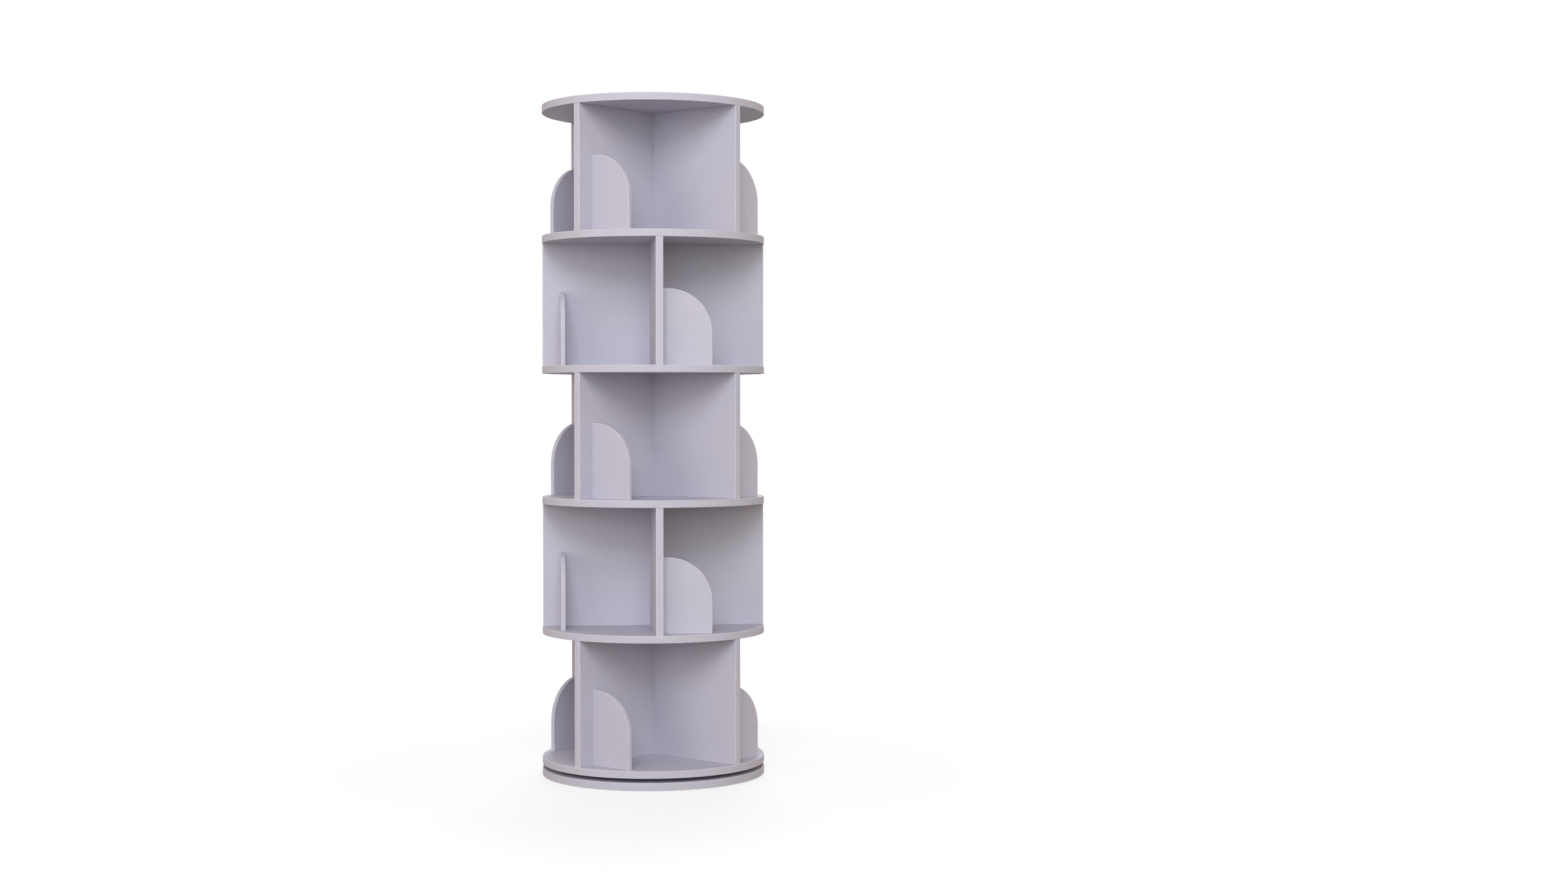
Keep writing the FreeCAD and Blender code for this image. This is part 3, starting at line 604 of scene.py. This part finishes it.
# Copies round the turning axis, tier by tier
def build_copies_tree():
    """Every other tier is turned by Tier Turn, and each tier is a storey above the last."""
    tree = bpy.data.node_groups.new("copies_round_the_axis", "GeometryNodeTree")
    inputs = [("Geometry", "NodeSocketGeometry", None), ("Copies Round", "NodeSocketInt", ARMS),
              ("Tiers", "NodeSocketInt", 1), ("First Level", "NodeSocketFloat", 0.0),
              ("Storey", "NodeSocketFloat", 0.0), ("First Turn", "NodeSocketFloat", 0.0),
              ("Tier Turn", "NodeSocketFloat", 0.0), ("Material", "NodeSocketMaterial", None)]
    for name, kind, value in inputs:
        socket = tree.interface.new_socket(name, in_out="INPUT", socket_type=kind)
        if value is not None:
            socket.default_value = value
    tree.interface.new_socket("Geometry", in_out="OUTPUT", socket_type="NodeSocketGeometry")
    given = tree.nodes.new("NodeGroupInput").outputs

    def work(operation, first, second=0.0):
        return calculate(tree, operation, first, second)

    def upright(value):
        node = tree.nodes.new("ShaderNodeCombineXYZ")
        tree.links.new(value, node.inputs["Z"])
        return node.outputs["Vector"]

    index = tree.nodes.new("GeometryNodeInputIndex").outputs["Index"]
    round_step = work("MODULO", index, given["Copies Round"])
    tier = work("FLOOR", work("DIVIDE", index, given["Copies Round"]))
    level = work("ADD", given["First Level"], work("MULTIPLY", tier, given["Storey"]))
    turn = work("DIVIDE", work("MULTIPLY", round_step, 2 * math.pi), given["Copies Round"])
    other_tier = work("MULTIPLY", work("MODULO", tier, 2.0), given["Tier Turn"])
    angle = work("ADD", turn, work("ADD", given["First Turn"], other_tier))

    points = tree.nodes.new("GeometryNodePoints")
    tree.links.new(work("MULTIPLY", given["Copies Round"], given["Tiers"]), points.inputs["Count"])
    tree.links.new(upright(level), points.inputs["Position"])
    copies = tree.nodes.new("GeometryNodeInstanceOnPoints")
    tree.links.new(points.outputs["Points"], copies.inputs["Points"])
    tree.links.new(given["Geometry"], copies.inputs["Instance"])
    tree.links.new(upright(angle), copies.inputs["Rotation"])
    real = tree.nodes.new("GeometryNodeRealizeInstances")
    tree.links.new(copies.outputs["Instances"], real.inputs["Geometry"])
    finish = tree.nodes.new("GeometryNodeSetMaterial")
    tree.links.new(real.outputs["Geometry"], finish.inputs["Geometry"])
    tree.links.new(given["Material"], finish.inputs["Material"])
    output = tree.nodes.new("NodeGroupOutput")
    tree.links.new(finish.outputs["Geometry"], output.inputs["Geometry"])
    return tree


copies_tree = build_copies_tree()


def copied(data, material, **settings):
    """The mesh repeated round the axis, as one plain mesh."""
    thing = plain_object(data, material)
    modifier = thing.modifiers.new("copies", "NODES")
    modifier.node_group = copies_tree
    sockets = {item.name: item.identifier for item in copies_tree.interface.items_tree
               if item.in_out == "INPUT"}
    for name, value in settings.items():
        modifier[sockets[name.replace("_", " ").title()]] = value
    modifier[sockets["Material"]] = material
    return finished(thing)


# Round boards
def turned_spots(spots, angle):
    """Spots on the first arm, repeated on all four and turned with their tier."""
    placed = []
    for arm in range(ARMS):
        turn = angle + math.pi / 2 * arm
        for x, y in spots:
            placed.append((x * math.cos(turn) - y * math.sin(turn),
                           x * math.sin(turn) + y * math.cos(turn)))
    return placed


def capped_hole(screw_radius, head_radius):
    """Steps of a cap recess, a countersink and a through hole."""
    recess, head, bore = CAP_RADIUS + SLACK, head_radius + SLACK, screw_radius + SLACK
    sink_end = CAP_RECESS + head - bore
    return [(recess, 0), (recess, CAP_RECESS), (head, CAP_RECESS), (bore, sink_end), (bore, BOARD)]


SCREW_HOLE = capped_hole(SCREW_RADIUS, SCREW_HEAD_RADIUS)
STOP_SCREW_HOLE = capped_hole(STOP_SCREW_RADIUS, STOP_SCREW_HEAD_RADIUS)
RING_PILOT = [(RING_SCREW_RADIUS + SLACK, 0), (RING_SCREW_RADIUS + SLACK, RING_PILOT_DEPTH)]
ACCESS_HOLE = [(ACCESS_RADIUS, 0), (ACCESS_RADIUS, BOARD)]


def tier_turn(tier):
    return ODD_TIER_TURN if tier % 2 else 0.0


def level_of(node):
    return Matrix.Translation((0, 0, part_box(node)[0].z))


def round_board(node, body, tier_below=None, tier_above=None, pilots=None, access=False):
    """A round board with the holes that its tiers and its bearing ring need.

    pilots gives the radius of the ring's screw circle and whether they are drilled from above."""
    board = Board(circle(0, 0, DISC_RADIUS, DISC_SIDES), [ARRIS] * DISC_SIDES, BOARD)
    if tier_below:
        for x, y in turned_spots(SCREW_SPOTS, tier_turn(tier_below)):
            board.face_holes.append((x, y, SCREW_HOLE, True, True))
    if tier_above:
        for x, y in turned_spots(SCREW_SPOTS, tier_turn(tier_above)):
            board.face_holes.append((x, y, SCREW_HOLE, False, True))
        for x, y in turned_spots([STOP_SCREW_SPOT], tier_turn(tier_above)):
            board.face_holes.append((x, y, STOP_SCREW_HOLE, False, True))
    if pilots:
        radius, from_above = pilots
        for x, y in circle(0, 0, radius, RING_SCREWS):
            board.face_holes.append((x, y, RING_PILOT, from_above, False))
    if access:
        x, y = circle(0, 0, UPPER_RING_CIRCLE, 1, ACCESS_ANGLE)[0]
        board.face_holes.append((x, y, ACCESS_HOLE, False, True))
    thing = finished(plain_object(board.finish(f"painted_{node}", level_of(node)), paint))
    seat(thing, body, "painted_board", node)


round_board("base_board", "base", pilots=(LOWER_RING_CIRCLE, True), access=True)
round_board("bottom_shelf", "tower", tier_above=1, pilots=(UPPER_RING_CIRCLE, False))
for number in range(1, TIERS):
    round_board(f"shelf_{number}", "tower", tier_below=number, tier_above=number + 1)
round_board("top_board", "tower", tier_below=TIERS)


# Upright partitions, drawn from the side: along the foot, up the outer end, back along the head
# and down the inner end. These are the edges of the outline that have holes in them
FOOT_EDGE, HEAD_EDGE, INNER_END_EDGE = 1, 5, 7
ON_EDGE_ALONG_X = Matrix(((1, 0, 0, 0), (0, 0, -1, HALF_PARTITION * MM), (0, 1, 0, 0), (0, 0, 0, 1)))


def partition_board(left, right, arms):
    """A board on edge, with bores for screws in its foot and head and for dowels in its sides."""
    first, last = left + END_STRIP, right - END_STRIP
    outline = [(left, 0), (first, 0), (last, 0), (right, 0),
               (right, TIER_HEIGHT), (last, TIER_HEIGHT), (first, TIER_HEIGHT), (left, TIER_HEIGHT)]
    inner_end = EASED_JOINT if left > 0 else ARRIS
    rounding = [EASED_JOINT] * 3 + [ARRIS] + [EASED_JOINT] * 3 + [inner_end]
    board = Board(outline, rounding, 2 * HALF_PARTITION)
    screw_bore, dowel_bore = SCREW_RADIUS + SLACK, STOP_DOWEL_RADIUS + SLACK
    dowel_seat = [(dowel_bore, 0), (dowel_bore, STOP_DOWEL_SEAT + END_SLACK)]
    foot_holes, head_holes = [], []
    for side in arms:
        for x, _ in SCREW_SPOTS:
            foot_holes.append((side * x - first, screw_bore, SCREW_DEPTH))
            head_holes.append((last - side * x, screw_bore, SCREW_DEPTH))
        for level in STOP_DOWEL_LEVELS:
            board.face_holes.append((side * STOP_MIDDLE, level, dowel_seat, side < 0, False))
    board.edge_holes = {FOOT_EDGE: foot_holes, HEAD_EDGE: head_holes}
    return board


def long_partition():
    """The board that runs right across, with the centre dowels' holes through it."""
    board = partition_board(-PARTITION_REACH, PARTITION_REACH, (1, -1))
    bore = CENTRE_DOWEL_RADIUS + SLACK
    for level in CENTRE_DOWEL_LEVELS:
        board.face_holes.append((0, level, [(bore, 0), (bore, 2 * HALF_PARTITION)], True, True))
    return board


def short_partition():
    """A board that butts against the long one, with the centre dowels' holes in its inner end."""
    board = partition_board(HALF_PARTITION, PARTITION_REACH, (1,))
    depth = CENTRE_DOWEL_LENGTH / 2 - HALF_PARTITION + END_SLACK
    board.edge_holes[INNER_END_EDGE] = [(TIER_HEIGHT - level, CENTRE_DOWEL_RADIUS + SLACK, depth)
                                        for level in CENTRE_DOWEL_LEVELS]
    return board


def tier_placing(tier, quarter=0):
    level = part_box(f"tier_{tier}_long_partition")[0].z
    turn = Matrix.Rotation(tier_turn(tier) + math.pi / 2 * quarter, 4, "Z")
    return Matrix.Translation((0, 0, level)) @ turn


def stand_partition(board, node, placing):
    data = board.finish(f"painted_{node}", placing @ ON_EDGE_ALONG_X)
    seat(finished(plain_object(data, paint)), "tower", "painted_board", node)


for tier in range(1, TIERS + 1):
    stand_partition(long_partition(), f"tier_{tier}_long_partition", tier_placing(tier))
    for letter, quarter in (("a", 1), ("b", 3)):
        node = f"tier_{tier}_short_partition_{letter}"
        stand_partition(short_partition(), node, tier_placing(tier, quarter))


# Book stops: one plate on the first arm, copied to the other three
def book_stop_mesh():
    """A plate drawn from its face, with one round corner and bores in its foot and near side."""
    corner_x, corner_y = STOP_FAR - STOP_CORNER, STOP_HEIGHT - STOP_CORNER
    angles = [math.pi / 2 * k / STOP_CORNER_STEPS for k in range(STOP_CORNER_STEPS + 1)]
    foot = [(STOP_NEAR, 0), (STOP_NEAR + END_STRIP, 0), (STOP_FAR - END_STRIP, 0), (STOP_FAR, 0)]
    corner = [(corner_x + STOP_CORNER * math.cos(angle), corner_y + STOP_CORNER * math.sin(angle))
              for angle in angles]
    near_side = [(STOP_NEAR, STOP_HEIGHT), (STOP_NEAR, STOP_HEIGHT - END_STRIP)]
    outline = foot + corner + near_side
    rounding = [EASED_JOINT] * 3 + [ARRIS] * (len(corner) + 1) + [EASED_JOINT] * 2
    plate = Board(outline, rounding, STOP_FACE - STOP_BACK)
    dowel_bore = STOP_DOWEL_RADIUS + SLACK
    dowel_depth = STOP_DOWEL_LENGTH - STOP_DOWEL_SEAT + END_SLACK
    near_edge = len(outline) - 1
    plate.edge_holes = {
        FOOT_EDGE: [(STOP_WIDTH / 2 - END_STRIP, STOP_SCREW_RADIUS + SLACK, STOP_SCREW_DEPTH)],
        near_edge: [(STOP_HEIGHT - END_STRIP - level, dowel_bore, dowel_depth)
                    for level in STOP_DOWEL_LEVELS],
    }
    upright = Matrix(((0, 0, 1, STOP_BACK * MM), (1, 0, 0, 0), (0, 1, 0, 0), (0, 0, 0, 1)))
    return plate.finish("book_stop", upright)


stop = book_stop_mesh()
for tier in range(1, TIERS + 1):
    data = stop.copy()
    data.name = f"tier_{tier}_book_stops"
    foot_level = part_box(f"tier_{tier}_book_stop_a")[0].z
    stops = copied(data, paint, first_level=foot_level, first_turn=tier_turn(tier))
    seat(stops, "tower", "painted_board", *[f"tier_{tier}_book_stop_{letter}" for letter in "abcd"])


# Cover caps
def cap_meshes(spots, low, face_up):
    """Caps on the first arm, with a softened edge on the face that shows."""
    profile = [(0, 0), (CAP_RADIUS, 0), (CAP_RADIUS, CAP_THICKNESS - CAP_EDGE),
               (CAP_RADIUS - CAP_EDGE_MIDDLE, CAP_THICKNESS - CAP_EDGE_MIDDLE),
               (CAP_RADIUS - CAP_EDGE, CAP_THICKNESS), (CAP_RADIUS - CAP_FACE_RING, CAP_THICKNESS),
               (0, CAP_THICKNESS)]
    facing = Matrix.Identity(4)
    if not face_up:
        lift = Matrix.Translation((0, 0, CAP_THICKNESS * MM))
        facing = lift @ Matrix.Rotation(math.pi, 4, "X")
    return [turned_mesh("cap", profile, HOLE_SIDES, Matrix.Translation((x * MM, y * MM, low)) @ facing)
            for x, y in spots]


storey = (TIER_HEIGHT + BOARD) * MM
first_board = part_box("shelf_1")[0].z
lower_spots = SCREW_SPOTS + [STOP_SCREW_SPOT]
upper_caps = joined_mesh("upper_cover_caps", cap_meshes(SCREW_SPOTS, HEAD_TO_FACE * MM, True))
lower_caps = joined_mesh("lower_cover_caps", cap_meshes(lower_spots, CAP_SETBACK * MM, False))
upper = copied(upper_caps, cap_plastic, tiers=TIERS, first_level=first_board, storey=storey,
               first_turn=ODD_TIER_TURN, tier_turn=-ODD_TIER_TURN)
lower = copied(lower_caps, cap_plastic, tiers=TIERS - 1, first_level=first_board, storey=storey,
               first_turn=0.0, tier_turn=ODD_TIER_TURN)
seat(upper, "tower", "cap_plastic", "cover_caps")
seat(lower, "tower", "cap_plastic", "cover_caps")

# Felt pads
pad_side = [(PAD_RADIUS - inwards, height) for inwards, height in PAD_EDGE]
pad_profile = [(0, 0), *pad_side, (0, PAD_HEIGHT)]
pad = turned_mesh("felt_foot_pads", pad_profile, PAD_SIDES, Matrix.Translation((PAD_CIRCLE * MM, 0, 0)))
seat(copied(pad, felt, copies_round=PADS), "base", "felt", "foot_pads")

# Bearing balls
ball_angles = [math.pi * k / BALL_STEPS for k in range(1, BALL_STEPS)]
ball_side = [(BALL_RADIUS * math.sin(angle), -BALL_RADIUS * math.cos(angle)) for angle in ball_angles]
ball_profile = [(0, -BALL_RADIUS), *ball_side, (0, BALL_RADIUS)]
low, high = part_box("bearing_balls")
ball_place = Matrix.Translation((BALL_CIRCLE * MM, 0, (low.z + high.z) / 2))
ball = turned_mesh("polished_bearing_balls", ball_profile, BALL_SIDES, ball_place)
seat(copied(ball, ball_steel, copies_round=BALLS), "ball_cage", "ball_steel", "bearing_balls")

# Better finishes on the pieces that keep the model's own shape
for name, thing in nodes.items():
    if "screws" in name:
        finish = zinc
    elif "dowels" in name:
        finish = beech
    elif name in ("bearing_lower_ring", "bearing_upper_ring"):
        finish = aluminium
    elif name == "ball_cage":
        finish = nylon
    else:
        continue
    thing.data.materials.clear()
    thing.data.materials.append(finish)


# Studio: softboxes in front, at the left and behind, in a warmer room that is brightest at the
# horizon. The camera sees the room and the far floor as plain white
FLOOR_SIZE = 60.0
FLOOR_COLOUR = rgb(0.34, 0.335, 0.33)
FLOOR_BOUNCE = rgb(0.365, 0.335, 0.295)

# The floor's own light for the camera: its colour, and two levels at two distances from the axis
FLOOR_LIFT = rgb(0.97, 0.98, 1.0)
LIFT_NEAR, LIFT_FAR = 0.6, 4.0
LEVEL_NEAR, LEVEL_FAR = 0.68, 1.1

# The room's strength falls between two heights of the direction, 0 at the horizon and 1 overhead
ROOM_COLOUR = rgb(1.0, 0.88, 0.73)
ROOM_HORIZON, ROOM_ZENITH = 1.32, 0.22
HORIZON_TOP, ZENITH_START = 0.25, 0.65
WHITE = rgb(1, 1, 1)

# Name, place, width, height, power and colour of each softbox
LIGHT_AIM = (0, 0, 0.7)
SOFTBOXES = [
    ("high_softbox", (-0.45, -5.18, 4.0), 3.0, 2.5, 182, (0.885, 0.93, 1.0)),
    ("front_softbox", (-0.52, -5.98, 2.0), 3.0, 2.5, 60, (0.52, 0.87, 1.0)),
    ("left_softbox", (-3.54, -3.54, 1.3), 2.5, 2.2, 30, (1.0, 0.95, 0.95)),
    ("back_softbox", (0.8, 5.2, 3.4), 3.0, 2.5, 160, (0.84, 0.92, 1.0)),
]

CAMERA_PLACE = (-0.2474, -4.6150, 0.768)
CAMERA_PITCH, CAMERA_YAW = math.radians(90 - 0.925), math.radians(-6.44)
LENS, SENSOR_WIDTH = 50.89, 36


def stage_plane(name, size, material):
    half = size / 2
    corners = [(-half, -half, 0), (half, -half, 0), (half, half, 0), (-half, half, 0)]
    data = bpy.data.meshes.new(name)
    data.from_pydata(corners, [], [(0, 1, 2, 3)])
    plain_object(data, material)


def seen_by_camera(tree):
    """1 for what the camera sees, straight or through gloss and glass."""
    path = tree.nodes.new("ShaderNodeLightPath").outputs
    seen = calculate(tree, "MAXIMUM", path["Is Camera Ray"], path["Is Glossy Ray"])
    return calculate(tree, "MAXIMUM", seen, path["Is Transmission Ray"])


def floor_material():
    """Matt floor that the camera sees as white, with the shadow near the object kept."""
    material, tree, shader = new_material("pale_floor")
    seen = seen_by_camera(tree)
    tree.links.new(mix_colour(tree, seen, FLOOR_BOUNCE, FLOOR_COLOUR), shader.inputs["Base Color"])
    shader.inputs["Roughness"].default_value = 0.9
    shader.inputs["Specular IOR Level"].default_value = 0.1
    shader.inputs["Emission Color"].default_value = FLOOR_LIFT
    distance = tree.nodes.new("ShaderNodeVectorMath")
    distance.operation = "LENGTH"
    tree.links.new(object_place(tree), distance.inputs[0])
    lift = remap(tree, distance.outputs["Value"], LIFT_NEAR, LIFT_FAR, LEVEL_NEAR, LEVEL_FAR)
    tree.links.new(calculate(tree, "MULTIPLY", seen, lift), shader.inputs["Emission Strength"])
    return material


def white_world():
    """White to the camera, and a warm room to everything else."""
    world = bpy.data.worlds.new("studio")
    world.use_nodes = True
    tree = world.node_tree
    background = tree.nodes["Background"]
    seen = seen_by_camera(tree)
    tree.links.new(mix_colour(tree, seen, ROOM_COLOUR, WHITE), background.inputs["Color"])
    direction = tree.nodes.new("ShaderNodeSeparateXYZ")
    outwards = tree.nodes.new("ShaderNodeTexCoord").outputs["Generated"]
    tree.links.new(outwards, direction.inputs["Vector"])
    upwards = direction.outputs["Z"]
    room = remap(tree, upwards, HORIZON_TOP, ZENITH_START, ROOM_HORIZON, ROOM_ZENITH)
    room = calculate(tree, "MULTIPLY", calculate(tree, "SUBTRACT", 1.0, seen), room)
    tree.links.new(calculate(tree, "ADD", seen, room), background.inputs["Strength"])
    bpy.context.scene.world = world


def softbox(name, place, width, height, power, colour):
    lamp = bpy.data.lights.new(name, "AREA")
    lamp.shape = "RECTANGLE"
    lamp.size, lamp.size_y = width, height
    lamp.energy = power
    lamp.color = colour
    thing = bpy.data.objects.new(name, lamp)
    bpy.context.scene.collection.objects.link(thing)
    thing.location = place
    thing.rotation_euler = (Vector(LIGHT_AIM) - Vector(place)).to_track_quat("-Z", "Y").to_euler()


def photo_camera():
    """The camera as it stood for the photo."""
    lens = bpy.data.cameras.new("camera")
    lens.lens = LENS
    lens.sensor_width = SENSOR_WIDTH
    camera = bpy.data.objects.new("camera", lens)
    bpy.context.scene.collection.objects.link(camera)
    camera.location = CAMERA_PLACE
    camera.rotation_euler = (CAMERA_PITCH, 0, CAMERA_YAW)
    bpy.context.scene.camera = camera


stage_plane("floor", FLOOR_SIZE, floor_material())
white_world()
for settings in SOFTBOXES:
    softbox(*settings)
photo_camera()
bpy.context.scene.view_settings.view_transform = "Standard"
